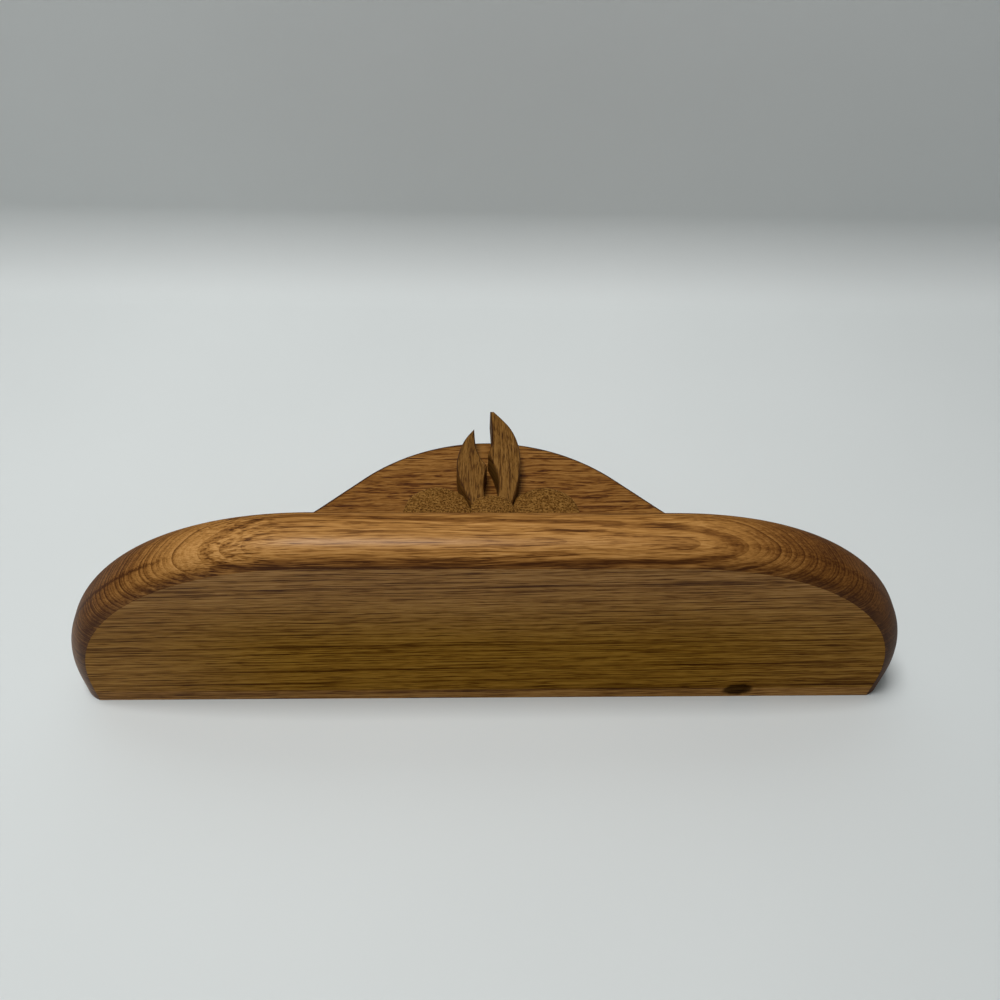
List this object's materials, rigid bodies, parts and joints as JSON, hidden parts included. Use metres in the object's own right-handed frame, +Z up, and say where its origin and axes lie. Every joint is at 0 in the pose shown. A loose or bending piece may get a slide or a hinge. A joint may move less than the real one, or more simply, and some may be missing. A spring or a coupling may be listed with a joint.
{
  "type": "wall shelf",
  "caption": "Small oak wall shelf: a D-shaped board with a rounded edge over a bell-shaped back board with a ribbon bow in relief, hung on keyhole plates.",
  "frame": {"origin": "on the wall face, the plane that lies against the wall, midway between the two keyhole plates", "axes": "+Z up, +Y into the wall, so the shelf stands out towards -Y, and +X along the shelf's front, to the right as seen from the room"},
  "size_m": [0.2794, 0.0825, 0.1109],
  "materials": {
    "shelf_oak": "satin varnish over straight-grained oak",
    "back_oak": "satin varnish over oak, lighter than the shelf board",
    "bow_oak": "satin varnish over carved oak",
    "dowel_beech": "plain turned beech",
    "plate_steel": "zinc-plated sheet steel",
    "screw_steel": "zinc-plated"
  },
  "bodies": {
    "root": {"shelf_board": "shelf_oak", "back_board": "back_oak", "dowel_left": "dowel_beech", "dowel_middle": "dowel_beech", "dowel_right": "dowel_beech", "bow_knot": "bow_oak", "bow_loop_left": "bow_oak", "bow_loop_right": "bow_oak", "bow_tail_left": "bow_oak", "bow_tail_right": "bow_oak", "keyhole_plate_left": "plate_steel", "keyhole_plate_right": "plate_steel", "plate_screw_left_upper": "screw_steel", "plate_screw_left_lower": "screw_steel", "plate_screw_right_upper": "screw_steel", "plate_screw_right_lower": "screw_steel"}
  },
  "joints": []
}
